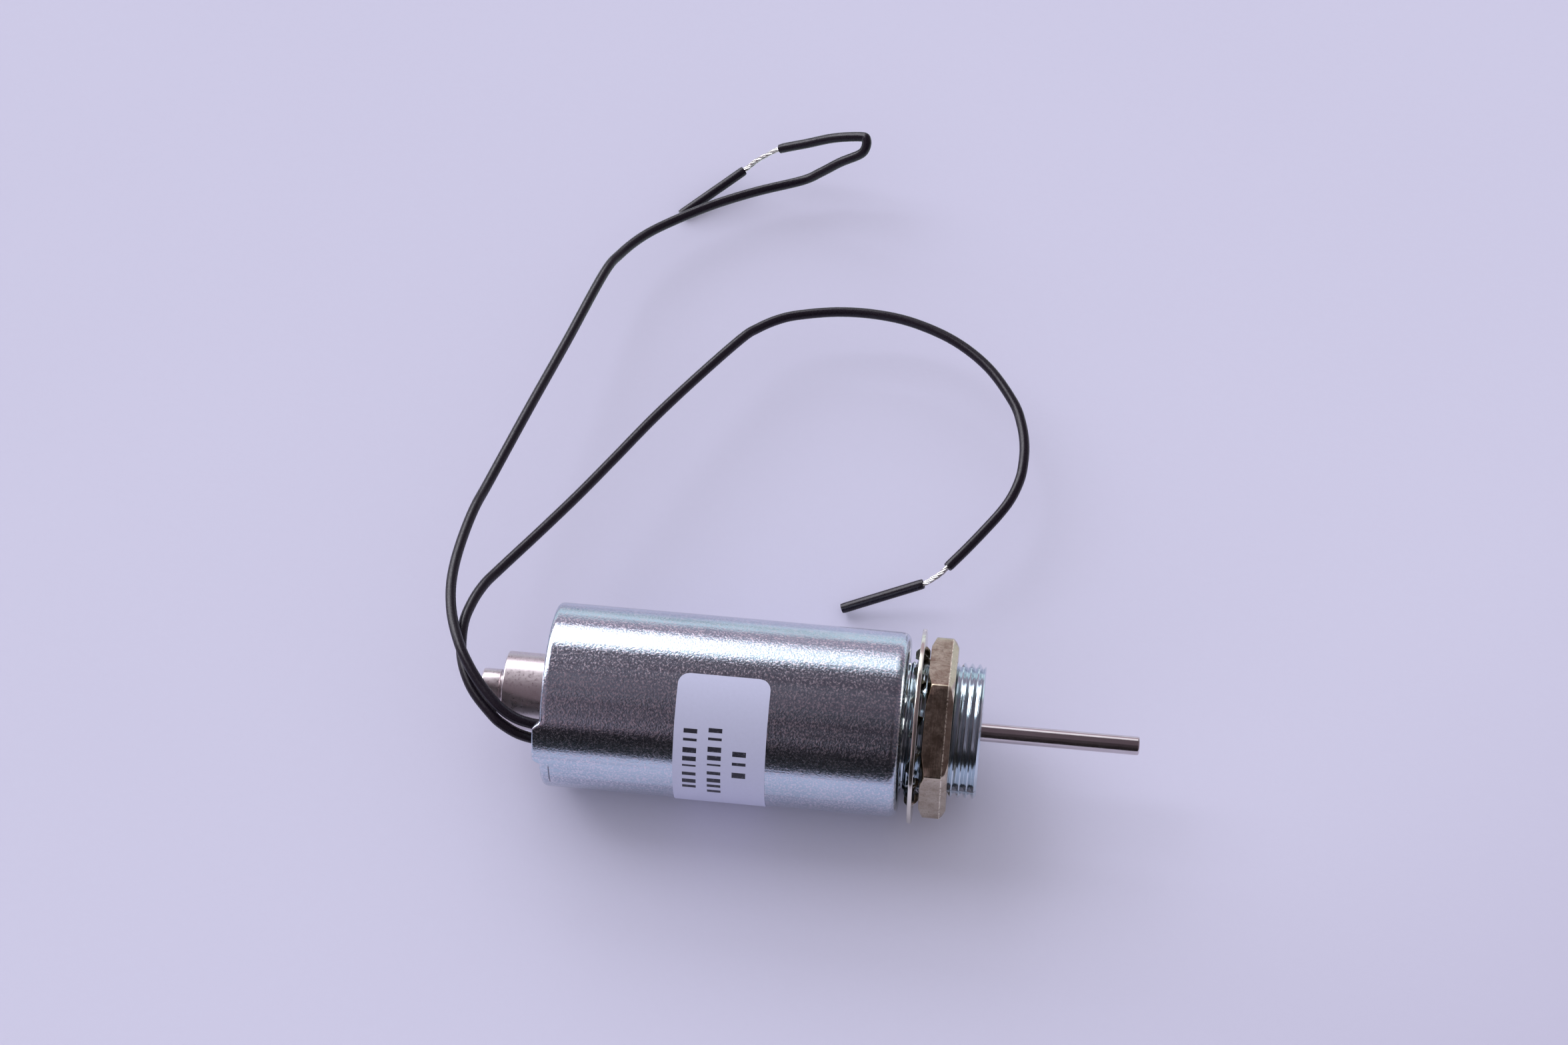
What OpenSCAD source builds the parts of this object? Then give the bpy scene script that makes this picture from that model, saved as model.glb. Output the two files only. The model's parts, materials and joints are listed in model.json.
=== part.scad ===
// Tubular push solenoid with a threaded mounting nose, millimetres.
// X runs along the axis towards the tip of the push rod, and Z is up.
// The origin is the centre of the can's front face, where a panel would sit.

/* [Can] */
// Outside diameter of the can
can_d = 26; // [25.8:0.1:26.4]
// Length of the can, without the lead tab
can_l = 50; // [49:0.1:51]
// Sheet thickness of the can
can_wall = 0.9; // [0.8:0.05:1]
// Corner radius at the front of the can
can_corner_r = 1.5; // [1.2:0.1:2]
// Outside radius of the rim rolled over at the rear
rim_r = 1.1; // [1:0.05:1.3]
// Distance the unrolled lead tab stands behind the rim
tab_out = 0.9; // [0.5:0.1:1.2]
// Width of the lead tab, in degrees around the can
tab_span = 24; // [20:1:30]
// Place of the lead tab, in degrees above the horizontal
tab_at = 28; // [27:1:29]

/* [Nose thread] */
// Major diameter of the mounting thread
thread_d = 18.9; // [18.8:0.05:19.05]
// Pitch of the mounting thread
thread_pitch = 1.058; // [1.04:0.001:1.06]
// Depth of the thread grooves
thread_depth = 0.62; // [0.55:0.01:0.65]
// Length of the nose in front of the can
nose_l = 10.75; // [10.7:0.05:12]

/* [Nut and lock washer] */
// Width of the nut across its flats
nut_af = 22.2; // [22:0.1:22.4]
// Thickness of the nut
nut_t = 3.8; // [3.4:0.1:3.9]
// Gap between the can and the back of the nut
nut_x = 2.9; // [2.85:0.05:3.3]
// Outside diameter of the lock washer
washer_d = 27.4; // [27:0.1:27.8]
// Thickness of the lock washer's ring
washer_t = 0.6; // [0.5:0.05:0.7]
// Number of inside teeth on the lock washer
tooth_count = 13; // [12:1:14]
// Twist of each tooth, in degrees
tooth_twist = 28; // [24:1:30]

/* [Plunger and rod] */
// Diameter of the plunger
plunger_d = 11; // [10.98:0.01:11.02]
// Length of plunger behind the can when pulled in
plunger_out = 6.5; // [6:0.1:8]
// Diameter of the plunger's rear stub
stub_d = 5.6; // [5.4:0.1:6]
// Length of the plunger's rear stub
stub_l = 3.4; // [3.2:0.1:3.6]
// Diameter of the push rod
rod_d = 2.6; // [2.58:0.01:2.62]
// Length of rod in front of the nose when pulled in
rod_out = 22.15; // [21:0.05:24]

/* [Leads] */
// Outside diameter of a lead
lead_d = 1.5; // [1.4:0.05:1.55]
// Diameter of the tinned conductor in a lead
wire_d = 0.76; // [0.7:0.02:0.8]

/* [Label] */
// Width of the label along the can
label_w = 12.8; // [10:0.1:16]
// Length of the label around the can
label_l = 32; // [26:1:36]
// Upper edge of the label, in degrees above the horizontal
label_top = 83; // [78:1:86]
// Corner radius of the label
label_corner_r = 1.6; // [1:0.1:2]

/* [Hidden] */
$fn = 96;

// Clearances between parts
running = 0.05;
loose = 0.1;
cut = 1;

// Can
can_r = can_d / 2;
bore_r = can_r - can_wall;
rim_x = -can_l;
rim_in_r = bore_r - 0.9;
tab_inset = 0.02;

// Fixed pole: a flange behind the can's front wall, with a core behind it
flange_x = -can_wall - running;
flange_t = 2;
flange_r = bore_r - running;
flange_chamfer = 0.6;
core_front_x = flange_x - flange_t;
core_rear_x = -14;
recess_depth = 4;
recess_floor_r = 2.9;
recess_slope = tan(30);
rod_hole_r = rod_d / 2 + 0.3;
bushing_r = 2.5;
bushing_x = 4.9;
bushing_l = 5.8;
thread_r = thread_d / 2;
nose_chamfer = 0.4;
thread_turns = 9;
thread_start_x = nose_l - nose_chamfer - thread_turns * thread_pitch;

// Guide tube around the plunger
plunger_r = plunger_d / 2;
guide_in_r = plunger_r + 0.06;
guide_out_r = guide_in_r + 0.44;
guide_rear_x = rim_x + 0.8;

// Rear end plate and bobbin
plate_t = 1.8;
plate_front_x = rim_x + can_wall + plate_t + running;
bobbin_in_r = guide_out_r + running;
bobbin_core_r = 6.8;
bobbin_r = bore_r - 0.2;
bobbin_front_x = core_front_x - running;
bobbin_rear_x = plate_front_x + running;
front_cheek_t = 1.5;
rear_cheek_t = 6.5;
coil_front_x = bobbin_front_x - front_cheek_t;
coil_rear_x = bobbin_rear_x + rear_cheek_t;
coil_r = 11.3;
tape_t = 0.15;

// Lead entry: one channel for both leads, under the can's tab
channel_w = 5.6;
channel_in_r = 8.6;
splice_r = 10;
splice_spread = 7.5;
splice_x = coil_rear_x - 3.1;
crimp_l = 3;
crimp_r = 0.85;
sleeve_r = 1.2;
tail_r = 0.15;

// Plunger, measured with the plunger pulled in against the fixed pole
cone_gap = 0.2;
shim_t = 0.3;
recess_x = core_rear_x + recess_depth;
tip_x = recess_x - shim_t - 0.02;
tip_r = recess_floor_r + (recess_x - tip_x) * recess_slope - cone_gap;
cone_x = tip_x - (plunger_r - tip_r) / recess_slope;
plunger_rear_x = rim_x - plunger_out;
stub_x = plunger_rear_x - stub_l;
stub_r = stub_d / 2;
stub_chamfer = 0.3;
relief_l = 0.8;
relief_depth = 0.35;
rod_r = rod_d / 2;
rod_seat = 8;
rod_tip_x = nose_l + rod_out;
rod_chamfer = 0.25;

// Nut and lock washer
washer_x = nut_x - 1.15;
washer_in_r = 11.4;
tooth_in_r = thread_r + 0.15;
tooth_w = 3.3;
nut_bore_r = thread_r + running;
nut_bevel_l = 0.85;
nut_bevel_r = 0.4;
chamfer_r = 11.5;
chamfer_slope = 0.52;

// Label
label_t = 0.12;
label_x = -can_l / 2 + 0.2;
label_span = label_l / can_r * 180 / PI;

// Leads: both start behind their splices, heading to the rear.
// A stretch is [length seen from above, turn to the right in degrees, height at its end].
// The last stretch but one is bared wire and the last one is the slug.
lead_sides = 12;
wire_sides = 8;
lead_parts = 3;
lead_steps = 2;
jacket_in_r = lead_d / 2 * 0.7;
lead_start_x = -45.8;
lead_a_course = [
    [5.5, 0, 6.2],
    [6, 42, 8],
    [10, 22, 9.2],
    [14, 28, 7.6],
    [16, 12, 4.6],
    [44, 0, -3.4],
    [16, 38, -7],
    [22, 22, -7.4],
    [9, 8, -1],
    [3.2, -162, 1],
    [13, -10, -6.5],
    [6, -40, -10],
    [12, 0, -12.3],
];
lead_b_course = [
    [5.5, 0, 4.1],
    [6, 38, 6.4],
    [15, 54, 7.4],
    [12, 30, 4.7],
    [26, -4, -0.3],
    [30, 8, -4.4],
    [10, 38, -5],
    [18, 32, -4.5],
    [21, 46, -4],
    [12, 34, -4.3],
    [8, 28, -4.8],
    [11.5, 6, -6],
    [4, 36, -7.6],
    [12, 0, -12.2],
];

// ---- shared shapes ----

// Turns a profile of [radius, x] points about the X axis.
// Angles are degrees above the horizontal, on the -Y side.
module turned(from = 0, span = 360) {
    rotate([0, 90, 0])
        rotate([0, 0, -90 - from - span])
            rotate_extrude(angle = span)
                children();
}

// A ring about the X axis
module ring(in_r, out_r, rear_x, front_x) {
    turned()
        translate([in_r, rear_x])
            square([out_r - in_r, front_x - rear_x]);
}

// Puts a shape drawn around the -Y direction at an angle above the horizontal
module on_side(angle) {
    rotate([-angle, 0, 0])
        children();
}

// The pocket in the rear cheek and the end plate where the leads come in
module lead_channel(rear_x, front_x) {
    on_side(tab_at)
        translate([rear_x, -can_r - cut, -channel_w / 2])
            cube([front_x - rear_x, can_r + cut - channel_in_r, channel_w]);
}

// The middle of a splice; side is 1 for lead a and -1 for lead b
function splice_point(side) =
    let (angle = tab_at + side * splice_spread)
    [splice_x, -splice_r * cos(angle), splice_r * sin(angle)];

// A round bar along X at a splice
module splice_bar(side, r, rear_x, front_x) {
    on_side(tab_at + side * splice_spread)
        translate([rear_x, -splice_r, 0])
            rotate([0, 90, 0])
                cylinder(r = r, h = front_x - rear_x);
}

// ---- points along a lead ----

function unit(v) = v / norm(v);

// Where a stretch seen from above ends, when it sets off along facing and turns evenly
function stretch_end(at, facing, length, turn) =
    turn == 0
        ? at + length * [cos(facing), sin(facing)]
        : let (r = length / turn * 180 / PI)
            at + r * [sin(facing) - sin(facing - turn), cos(facing - turn) - cos(facing)];

function course_points(at, height, facing, course, row = 0) =
    row == len(course)
        ? [[at.x, at.y, height]]
        : let (length = course[row][0], turn = course[row][1], rise = course[row][2] - height)
            concat(
                [
                    for (k = [0 : lead_parts - 1])
                        let (share = k / lead_parts)
                        let (place = stretch_end(at, facing, length * share, turn * share))
                        [place.x, place.y, height + rise * share]
                ],
                course_points(
                    stretch_end(at, facing, length, turn),
                    height + rise, facing - turn, course, row + 1
                )
            );

function smooth_point(a, b, c, d, t) = (
    2 * b + (c - a) * t + (2 * a - 5 * b + 4 * c - d) * t * t + (3 * b - a - 3 * c + d) * t * t * t
) / 2;

function smooth_path(p, steps) = [
    for (i = [0 : len(p) - 2])
        for (k = [0 : steps - 1])
            smooth_point(p[max(i - 1, 0)], p[i], p[i + 1], p[min(i + 2, len(p) - 1)], k / steps),
    p[len(p) - 1],
];

function heading(p, i) = unit(p[min(i + 1, len(p) - 1)] - p[max(i - 1, 0)]);

function circle_at(p, i, r, sides) =
    let (ahead = heading(p, i), across = unit(cross(ahead, [0, 0, 1])), up = cross(across, ahead))
    [for (k = [0 : sides - 1]) p[i] + r * (cos(360 * k / sides) * across + sin(360 * k / sides) * up)];

function skin(first, rings, sides, flip) = [
    for (i = [0 : rings - 2])
        for (k = [0 : sides - 1])
            let (
                a = first + i * sides + k,
                b = first + i * sides + (k + 1) % sides,
                c = b + sides,
                d = a + sides
            )
            each flip ? [[a, c, b], [a, d, c]] : [[a, b, c], [a, c, d]],
];

// A solid round bar along a path
module bar_along(path, r, sides) {
    rings = len(path);
    points = [for (i = [0 : rings - 1]) each circle_at(path, i, r, sides)];
    near_cap = [[for (k = [0 : sides - 1]) sides - 1 - k]];
    far_cap = [[for (k = [0 : sides - 1]) (rings - 1) * sides + k]];
    polyhedron(points, concat(skin(0, rings, sides, false), near_cap, far_cap));
}

// A hollow tube along a path
module tube_along(path, in_r, out_r, sides) {
    rings = len(path);
    half = rings * sides;
    outer = [for (i = [0 : rings - 1]) each circle_at(path, i, out_r, sides)];
    inner = [for (i = [0 : rings - 1]) each circle_at(path, i, in_r, sides)];
    ends = [
        for (k = [0 : sides - 1])
            let (n = (k + 1) % sides, last = half - sides)
            each [
                [k, half + k, half + n],
                [k, half + n, n],
                [last + k, last + n, half + last + n],
                [last + k, half + last + n, half + last + k],
            ],
    ];
    faces = concat(skin(0, rings, sides, false), skin(half, rings, sides, true), ends);
    polyhedron(concat(outer, inner), faces);
}

// ---- parts of the housing ----

module can_profile() {
    polygon([
        [can_r, -can_corner_r],
        for (a = [15 : 15 : 75])
            [can_r - can_corner_r * (1 - cos(a)), -can_corner_r * (1 - sin(a))],
        [can_r - can_corner_r, 0],
        [nut_bore_r, 0],
        [nut_bore_r, -can_wall],
        [bore_r - 0.6, -can_wall],
        [bore_r, -can_wall - 0.6],
        [bore_r, rim_x + can_wall],
        [rim_in_r, rim_x + can_wall],
        [rim_in_r, rim_x],
        for (a = [0 : 15 : 90])
            [can_r - rim_r * (1 - sin(a)), rim_x + rim_r * (1 - cos(a))],
    ]);
}

module can() {
    tab_root = rim_r + 1.5;
    color("lightsteelblue")
        union() {
            difference() {
                turned()
                    can_profile();
                turned(tab_at - tab_span / 2, tab_span)
                    translate([rim_in_r - cut, rim_x - cut])
                        square([can_r - rim_in_r + 2 * cut, rim_r + 1.2 * cut]);
            }
            turned(tab_at - tab_span / 2 - 0.5, tab_span + 1)
                translate([bore_r + tab_inset, rim_x - tab_out])
                    square([can_wall - 2 * tab_inset, tab_out + tab_root]);
        }
}

module thread_profile() {
    root_r = thread_r - thread_depth;
    polygon([
        [rod_hole_r, core_front_x],
        [thread_r, core_front_x],
        [thread_r, -can_wall],
        [root_r, 0.2],
        [root_r, thread_start_x - thread_pitch * 0.4],
        for (i = [0 : thread_turns - 1])
            let (crest_x = thread_start_x + i * thread_pitch)
            each [
                [thread_r, crest_x],
                [thread_r, crest_x + thread_pitch * 0.16],
                [root_r, crest_x + thread_pitch * 0.52],
                [root_r, crest_x + thread_pitch * 0.64],
            ],
        [thread_r, nose_l - nose_chamfer],
        [thread_r - nose_chamfer, nose_l],
        [bushing_r, nose_l],
        [bushing_r, bushing_x],
        [rod_hole_r, bushing_x],
    ]);
}

module core_profile() {
    polygon([
        [rod_hole_r, core_front_x],
        [rod_hole_r, recess_x],
        [recess_floor_r, recess_x],
        [recess_floor_r + recess_depth * recess_slope, core_rear_x],
        [plunger_r, core_rear_x],
        [plunger_r, core_front_x],
    ]);
}

module flange_profile() {
    polygon([
        [thread_r - 1, core_front_x],
        [flange_r, core_front_x],
        [flange_r, flange_x - flange_chamfer],
        [flange_r - flange_chamfer, flange_x],
        [thread_r - 1, flange_x],
    ]);
}

module pole_bush() {
    color("gainsboro")
        union() {
            turned()
                thread_profile();
            turned()
                core_profile();
            turned()
                flange_profile();
        }
}

module rear_end_plate() {
    color("silver")
        difference() {
            ring(guide_out_r + running, bore_r - running, plate_front_x - plate_t, plate_front_x);
            lead_channel(plate_front_x - plate_t - cut, plate_front_x + cut);
        }
}

module bobbin() {
    color("ivory")
        difference() {
            union() {
                ring(bobbin_in_r, bobbin_core_r, bobbin_rear_x, bobbin_front_x);
                ring(bobbin_core_r - 0.2, bobbin_r, bobbin_rear_x, coil_rear_x);
                ring(bobbin_core_r - 0.2, bobbin_r, coil_front_x, bobbin_front_x);
            }
            lead_channel(bobbin_rear_x - cut, coil_rear_x - 1);
            splice_bar(-1, tail_r + loose, coil_rear_x - 2, coil_rear_x + cut);
            splice_bar(1, tail_r + loose, coil_rear_x - 2, coil_rear_x + cut);
        }
}

module coil_winding() {
    color("sienna")
        union() {
            ring(bobbin_core_r + running, coil_r, coil_rear_x + running, coil_front_x - running);
            splice_bar(-1, tail_r, splice_x + crimp_l / 2, coil_rear_x + 0.5);
            splice_bar(1, tail_r, splice_x + crimp_l / 2, coil_rear_x + 0.5);
        }
}

module coil_tape() {
    color("goldenrod")
        ring(coil_r + 0.02, coil_r + tape_t, coil_rear_x + running, coil_front_x - running);
}

module guide_tube() {
    color("darkkhaki")
        ring(guide_in_r, guide_out_r, guide_rear_x, core_front_x - running);
}

module rod_bushing() {
    color("peru")
        ring(rod_r + 0.04, bushing_r, bushing_x, bushing_x + bushing_l);
}

module air_gap_washer() {
    color("khaki")
        ring(rod_hole_r, recess_floor_r - loose, recess_x - shim_t, recess_x);
}

module splice_crimp(side) {
    color("silver")
        difference() {
            splice_bar(side, crimp_r, splice_x - crimp_l / 2, splice_x + crimp_l / 2);
            splice_bar(side, wire_d / 2 + running, splice_x - crimp_l, splice_x + crimp_l);
        }
}

module splice_sleeve(side) {
    sleeve_l = crimp_l + 0.6;
    color("dimgray")
        difference() {
            splice_bar(side, sleeve_r, splice_x - sleeve_l / 2, splice_x + sleeve_l / 2);
            splice_bar(side, crimp_r + running, splice_x - sleeve_l, splice_x + sleeve_l);
        }
}

// ---- label ----

// What is cut off to round one corner of the label, as two bevels
module label_corner(angle, x, side, up) {
    bevel = label_corner_r * (1 - cos(45));
    past = 0.3;
    reach = label_corner_r + past / tan(22.5);
    on_side(angle)
        translate([x, cut - can_r, 0])
            rotate([90, 0, 0])
                linear_extrude(2 * cut)
                    polygon([
                        [-side * reach, up * past],
                        [-side * bevel, -up * bevel],
                        [side * past, -up * reach],
                        [side * past, up * past],
                    ]);
}

module label() {
    color("white")
        difference() {
            turned(label_top - label_span, label_span)
                translate([can_r, label_x - label_w / 2])
                    square([label_t, label_w]);
            for (side = [-1, 1]) {
                label_corner(label_top, label_x + side * label_w / 2, side, 1);
                label_corner(label_top - label_span, label_x + side * label_w / 2, side, -1);
            }
        }
}

// ---- leads ----

function lead_path(side, course) =
    let (start = splice_point(side))
    smooth_path(course_points([lead_start_x, start.y], start.z, 180, course), lead_steps);

// The place in the path where one of the last stretches starts
function place_before_end(course, stretches) = (len(course) - stretches) * lead_parts * lead_steps;

module lead_jacket(side, course) {
    path = lead_path(side, course);
    color("#1c1c1e")
        tube_along(
            [for (i = [0 : place_before_end(course, 2)]) path[i]],
            jacket_in_r, lead_d / 2, lead_sides
        );
}

// The conductor runs from inside its splice to the far end of the slug
module lead_conductor(side, course) {
    path = lead_path(side, course);
    color("silver")
        bar_along(
            [
                splice_point(side),
                for (i = [0 : place_before_end(course, 1)]) path[i],
                path[len(path) - 1],
            ],
            wire_d / 2, wire_sides
        );
}

module lead_slug(side, course) {
    path = lead_path(side, course);
    color("#1c1c1e")
        tube_along(
            [path[place_before_end(course, 1)], path[len(path) - 1]],
            jacket_in_r, lead_d / 2, lead_sides
        );
}

// ---- moving parts ----

module plunger() {
    relief_r = stub_r - relief_depth;
    color("rosybrown")
        turned()
            polygon([
                [0, stub_x],
                [stub_r - stub_chamfer, stub_x],
                [stub_r, stub_x + stub_chamfer],
                [stub_r, plunger_rear_x - relief_l],
                [relief_r, plunger_rear_x - relief_l],
                [relief_r, plunger_rear_x],
                [plunger_r - 0.2, plunger_rear_x],
                [plunger_r, plunger_rear_x + 0.2],
                [plunger_r, cone_x],
                [tip_r, tip_x],
                [rod_r, tip_x],
                [rod_r, tip_x - rod_seat],
                [0, tip_x - rod_seat],
            ]);
}

module push_rod() {
    color("gray")
        turned()
            polygon([
                [0, tip_x - rod_seat + loose],
                [rod_r, tip_x - rod_seat + loose],
                [rod_r, rod_tip_x - rod_chamfer],
                [rod_r - rod_chamfer, rod_tip_x],
                [0, rod_tip_x],
            ]);
}

module lock_washer() {
    tooth_l = washer_in_r + 0.4 - tooth_in_r;
    color("wheat")
        union() {
            ring(washer_in_r, washer_d / 2, washer_x - washer_t / 2, washer_x + washer_t / 2);
            for (i = [0 : tooth_count - 1])
                rotate([360 * i / tooth_count, 0, 0])
                    translate([washer_x, 0, tooth_in_r])
                        rotate([0, 0, tooth_twist])
                            translate([-washer_t / 2, -tooth_w / 2, 0])
                                cube([washer_t, tooth_w, tooth_l]);
        }
}

module hex_nut() {
    corner_r = nut_af / 2 / cos(30);
    corner_cut = corner_r - chamfer_r;
    body_t = nut_t - nut_bevel_l;
    color("darkkhaki")
        difference() {
            translate([nut_x, 0, 0])
                rotate([0, 90, 0])
                    intersection() {
                        union() {
                            cylinder(r = corner_r, h = body_t, $fn = 6);
                            translate([0, 0, body_t])
                                cylinder(r1 = corner_r, r2 = corner_r - nut_bevel_r, h = nut_bevel_l, $fn = 6);
                        }
                        rotate_extrude()
                            polygon([
                                [0, 0],
                                [chamfer_r, 0],
                                [corner_r + 0.1, corner_cut * chamfer_slope],
                                [corner_r + 0.1, nut_t - corner_cut * chamfer_slope],
                                [chamfer_r, nut_t],
                                [0, nut_t],
                            ]);
                    }
            ring(0, nut_bore_r, nut_x - cut, nut_x + nut_t + cut);
        }
}

can();
pole_bush();
rear_end_plate();
bobbin();
coil_winding();
coil_tape();
guide_tube();
rod_bushing();
air_gap_washer();
label();
lead_jacket(1, lead_a_course);  // lead_a_jacket
lead_conductor(1, lead_a_course);  // lead_a_conductor
lead_slug(1, lead_a_course);  // lead_a_slug
lead_jacket(-1, lead_b_course);  // lead_b_jacket
lead_conductor(-1, lead_b_course);  // lead_b_conductor
lead_slug(-1, lead_b_course);  // lead_b_slug
splice_crimp(1);  // splice_crimp_a
splice_crimp(-1);  // splice_crimp_b
splice_sleeve(1);  // splice_sleeve_a
splice_sleeve(-1);  // splice_sleeve_b
plunger();
push_rod();
lock_washer();
hex_nut();
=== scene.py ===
import json
import math

import bmesh
import bpy
import numpy as np
from mathutils import Matrix, Vector


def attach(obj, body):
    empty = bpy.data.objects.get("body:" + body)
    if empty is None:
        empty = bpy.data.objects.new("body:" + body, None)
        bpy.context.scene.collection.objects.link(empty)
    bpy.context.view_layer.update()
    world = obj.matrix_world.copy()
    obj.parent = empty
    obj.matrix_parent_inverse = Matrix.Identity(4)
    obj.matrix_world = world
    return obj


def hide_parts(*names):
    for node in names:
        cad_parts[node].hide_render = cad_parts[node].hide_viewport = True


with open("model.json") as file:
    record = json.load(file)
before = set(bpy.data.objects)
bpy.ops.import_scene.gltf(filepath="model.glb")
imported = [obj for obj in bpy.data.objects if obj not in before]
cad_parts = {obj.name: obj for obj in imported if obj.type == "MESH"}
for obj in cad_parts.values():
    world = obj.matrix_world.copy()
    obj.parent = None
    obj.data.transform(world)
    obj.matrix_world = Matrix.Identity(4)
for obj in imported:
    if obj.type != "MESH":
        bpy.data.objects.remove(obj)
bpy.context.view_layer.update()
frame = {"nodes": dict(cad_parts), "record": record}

# Fine surfaces, finishes, studio and camera for a tubular push solenoid.
# Lengths in the shape code are millimetres; make_piece() turns them into metres.
# X runs along the axis towards the rod's tip, and Z is up.
# Angles round the axis are degrees above the horizontal on the -Y side.

MM = 0.001

# ---- driving sizes, which follow the CAD source's ----

CAN_R = 13.0
CAN_LENGTH = 50.0
CAN_WALL = 0.9
CAN_CORNER_R = 1.5
RIM_R = 1.1
RIM_IN_R = 11.2
BORE_R = CAN_R - CAN_WALL
TAB_OUT = 0.9
TAB_ANGLE = 28.0
TAB_HALF_SPAN = 12.0
TAB_SHOULDER_SPAN = 5.0
SCORE_X = -48.6
SCORE_FROM, SCORE_TO = -8.0, 12.0

THREAD_R = 9.45
THREAD_PITCH = 1.058
THREAD_DEPTH = 0.62
THREAD_START = 0.83
THREAD_RELIEF = 0.45
THREAD_RELIEF_SLOPE = 1.2
NOSE_REAR_X = 0.2
NOSE_LENGTH = 10.75
NOSE_CHAMFER = 0.4
BUSH_R = 2.5
BUSH_REAR_X = 4.9
ROD_HOLE_R = 1.6
FLANGE_R = 12.05
FLANGE_X = -0.95
FLANGE_CHAMFER = 0.6
CORE_X = -2.95
POLE_X = -14.0
RECESS_X = -10.0
RECESS_R = 2.9
POLE_MOUTH_R = 5.21

NUT_FLATS = 22.2
NUT_X = 2.9
NUT_T = 3.8
NUT_BORE_R = 9.5
NUT_BORE_CHAMFER = 0.45
NUT_FLAT_ANGLE = 60.0
NUT_BEVEL_L = 0.85
NUT_BEVEL_R = 0.4
CHAMFER_R = 11.5
CHAMFER_SLOPE = 0.52

WASHER_X = 1.75
WASHER_T = 0.6
WASHER_R = 13.7
WASHER_IN_R = 11.4
TOOTH_COUNT = 13
TOOTH_TIP_R = 9.6
TOOTH_WIDTH = 3.3
TOOTH_TWIST = 28.0

PLUNGER_R = 5.5
PLUNGER_REAR_X = -56.5
STUB_R = 2.8
STUB_X = -59.9
STUB_RELIEF_L = 0.8
STUB_RELIEF_DEPTH = 0.35
CONE_X = -14.27
CONE_TIP_X = -10.32
CONE_TIP_R = 2.9
ROD_R = 1.3
ROD_REAR_X = -18.2
ROD_TIP_X = 32.9

LABEL_X = -24.8
LABEL_WIDTH = 12.8
LABEL_LENGTH = 32.0
LABEL_TOP = 83.0
LABEL_CORNER_R = 1.6
LABEL_T = 0.12

LEAD_R = 0.75
LEAD_BORE_R = 0.5
STRAND_R = 0.125
STRAND_LAY = 5.5
STRAND_COUNT = 7
STRAND_KINK = 0.12

# Both leads start behind their splices, heading to the rear.
# A stretch is (length seen from above, turn to the right in degrees, height at its end).
# The last stretch but one is bared wire and the last one is the offcut of jacket.
LEAD_START_X = -45.8
SPLICE_R = 10.0
SPLICE_SPREAD = 7.5
SPLICE_ANGLES = {"a": TAB_ANGLE + SPLICE_SPREAD, "b": TAB_ANGLE - SPLICE_SPREAD}
LEAD_PARTS = 3
LEAD_STEPS = 6
LEAD_COURSES = {
    "a": [
        (5.5, 0, 6.2),
        (6, 42, 8),
        (10, 22, 9.2),
        (14, 28, 7.6),
        (16, 12, 4.6),
        (44, 0, -3.4),
        (16, 38, -7),
        (22, 22, -7.4),
        (9, 8, -1),
        (3.2, -162, 1),
        (13, -10, -6.5),
        (6, -40, -10),
        (12, 0, -12.3),
    ],
    "b": [
        (5.5, 0, 4.1),
        (6, 38, 6.4),
        (15, 54, 7.4),
        (12, 30, 4.7),
        (26, -4, -0.3),
        (30, 8, -4.4),
        (10, 38, -5),
        (18, 32, -4.5),
        (21, 46, -4),
        (12, 34, -4.3),
        (8, 28, -4.8),
        (11.5, 6, -6),
        (4, 36, -7.6),
        (12, 0, -12.2),
    ],
}

# Rows of printed marks on the label: (distance from its rear edge, first angle, last angle, marks)
PRINT_ROWS = [(2.3, 50.0, 1.5, 8), (5.75, 51.4, -2.0, 9), (9.2, 37.9, 15.0, 3)]
PRINT_HEIGHT = 1.9


# ---- shapes ----


def around(x, r, angle):
    """Points at radius r round the X axis."""
    a = np.radians(angle)
    return np.stack(np.broadcast_arrays(x, -r * np.cos(a), r * np.sin(a)), axis=-1)


def smoothstep(value, low, high):
    t = np.clip((value - low) / (high - low), 0.0, 1.0)
    return t * t * (3 - 2 * t)


def rounded(corners, steps=4, closed=True):
    """A profile with its corners rounded. Each corner is (x, r, radius), and gives steps + 1 points."""
    points = []
    count = len(corners)
    for i, (x, r, radius) in enumerate(corners):
        here = np.array((x, r))
        if not closed and i in (0, count - 1):
            points.append(here)
            continue
        before = np.array(corners[i - 1][:2]) - here
        after = np.array(corners[(i + 1) % count][:2]) - here
        before_unit = before / np.linalg.norm(before)
        after_unit = after / np.linalg.norm(after)
        half = math.acos(float(np.clip(before_unit @ after_unit, -1, 1))) / 2
        reach = min(radius / math.tan(half), 0.48 * np.linalg.norm(before), 0.48 * np.linalg.norm(after))
        start = here + before_unit * reach
        end = here + after_unit * reach
        for k in range(steps + 1):
            t = k / steps
            points.append((1 - t) ** 2 * start + 2 * t * (1 - t) * here + t * t * end)
    return np.array(points)


def grid_faces(rows, columns, loop_rows, loop_columns):
    """Quads over a grid of points that are numbered row by row."""
    i = np.arange(rows if loop_rows else rows - 1)
    j = np.arange(columns if loop_columns else columns - 1)
    i, j = (a.ravel() for a in np.meshgrid(i, j, indexing="ij"))
    i_next = (i + 1) % rows
    j_next = (j + 1) % columns
    return np.stack(
        [i * columns + j, i * columns + j_next, i_next * columns + j_next, i_next * columns + j], axis=1
    )


def lathe(profile, angles=None):
    """A closed ring of a profile of (x, r) points, turned about the X axis."""
    if angles is None:
        angles = np.linspace(0, 360, 192, endpoint=False)
    points = around(profile[:, 0][:, None], profile[:, 1][:, None], angles[None, :])
    return points.reshape(-1, 3), grid_faces(len(profile), len(angles), True, True)


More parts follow.
